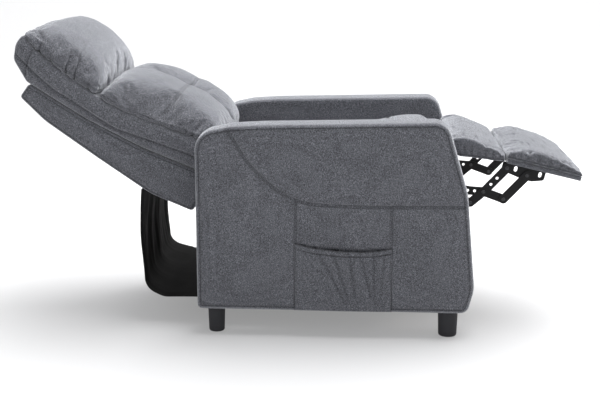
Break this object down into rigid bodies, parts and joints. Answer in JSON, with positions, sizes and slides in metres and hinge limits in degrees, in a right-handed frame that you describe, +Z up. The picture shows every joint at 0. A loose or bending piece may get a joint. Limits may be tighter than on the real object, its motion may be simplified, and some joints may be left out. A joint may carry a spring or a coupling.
{
  "type": "recliner armchair",
  "caption": "Push-back fabric recliner armchair, shown fully reclined: padded back with head pillow, scissor-link footrest, side pocket, black feet and dust cloth.",
  "frame": {"origin": "on the floor, under the middle of the reclined chair's box", "axes": "+Z up, the sitter faces -Y, X across the chair with x = 0 its middle plane"},
  "size_m": [0.691, 1.5602, 0.8551],
  "materials": {
    "upholstery": "heathered linen-look weave",
    "dust_cloth": "non-woven, matte",
    "webbing": "woven elastic",
    "plywood": "bare",
    "timber": "bare",
    "zinc_steel": "zinc plated",
    "foot_plastic": "fine satin",
    "black_steel": "black powder coat"
  },
  "bodies": {
    "base": {"arm_cover_left": "upholstery", "arm_cover_right": "upholstery", "arm_inner_panel_left": "plywood", "arm_inner_panel_right": "plywood", "arm_outer_panel_left": "plywood", "arm_outer_panel_right": "plywood", "arm_posts_left": "timber", "arm_posts_right": "timber", "back_pivot_rivets": "black_steel", "base_bolts": "zinc_steel", "base_plate_left": "black_steel", "base_plate_right": "black_steel", "dust_cloth": "dust_cloth", "foot_front_left": "foot_plastic", "foot_front_right": "foot_plastic", "foot_rear_left": "foot_plastic", "foot_rear_right": "foot_plastic", "foot_studs": "zinc_steel", "front_cross_rail": "timber", "mechanism_cleat_left": "timber", "mechanism_cleat_right": "timber", "rear_cross_rail": "timber", "side_pocket": "upholstery"},
    "back": {"back_bracket_left": "black_steel", "back_bracket_right": "black_steel", "back_case": "upholstery", "back_cross_rails": "timber", "back_cushion": "upholstery", "back_side_rails": "timber", "back_webbing": "webbing", "head_pillow": "upholstery", "lumbar_pillow": "upholstery", "seat_drive_pins": "black_steel"},
    "footrest": {"calf_pad": "upholstery", "footrest_board": "plywood", "footrest_bracket_left": "black_steel", "footrest_bracket_right": "black_steel", "footrest_pad": "upholstery", "footrest_rivets": "black_steel", "footrest_screws": "zinc_steel"},
    "cross_links": {"cross_link_left": "black_steel", "cross_link_right": "black_steel"},
    "drive_links": {"drive_link_left": "black_steel", "drive_link_right": "black_steel", "drive_link_rivets": "black_steel"},
    "lower_links": {"link_cross_tube": "black_steel", "lower_link_left": "black_steel", "lower_link_right": "black_steel", "lower_link_rivets": "black_steel"},
    "seat": {"seat_cross_rails": "timber", "seat_cushion": "upholstery", "seat_pivot_rivets": "black_steel", "seat_plate_left": "black_steel", "seat_plate_right": "black_steel", "seat_plate_spacers": "timber", "seat_side_rails": "timber", "seat_slide_studs": "black_steel", "seat_webbing": "webbing"},
    "toe_links": {"toe_link_left": "black_steel", "toe_link_right": "black_steel"}
  },
  "joints": [
    {"name": "back_recline", "type": "hinge", "parent": "base", "child": "back", "pos_m": [0, 0.213, 0.392], "axis": [1, 0, 0], "range_deg": [0, 42], "deforming": ["dust_cloth"]},
    {"name": "seat_glide", "type": "slide", "parent": "base", "child": "seat", "axis": [0, 0.9848, -0.1736], "range_m": [0, 0.048]},
    {"name": "footrest_fold", "type": "hinge", "parent": "seat", "child": "footrest", "pos_m": [0, -0.405, 0.494], "axis": [1, 0, 0], "range_deg": [0, 72]},
    {"name": "drive_link_pivot", "type": "hinge", "parent": "seat", "child": "drive_links", "pos_m": [0, -0.343, 0.427], "axis": [1, 0, 0], "range_deg": [0, 72]},
    {"name": "lower_link_pivot", "type": "hinge", "parent": "seat", "child": "lower_links", "pos_m": [0, -0.308, 0.3965], "axis": [1, 0, 0], "range_deg": [0, 72]},
    {"name": "cross_link_pivot", "type": "hinge", "parent": "drive_links", "child": "cross_links", "pos_m": [0, -0.512, 0.388], "axis": [1, 0, 0], "range_deg": [-72, 0]},
    {"name": "toe_link_pivot", "type": "hinge", "parent": "drive_links", "child": "toe_links", "pos_m": [0, -0.567, 0.368], "axis": [1, 0, 0], "range_deg": [-72, 0]}
  ],
  "couplings": [
    {"joint": "seat_glide", "follows": "back_recline", "m_per_rad": 0.06548},
    {"joint": "drive_link_pivot", "follows": "footrest_fold", "ratio": 1},
    {"joint": "lower_link_pivot", "follows": "footrest_fold", "ratio": 1},
    {"joint": "cross_link_pivot", "follows": "footrest_fold", "ratio": -1},
    {"joint": "toe_link_pivot", "follows": "footrest_fold", "ratio": -1}
  ]
}
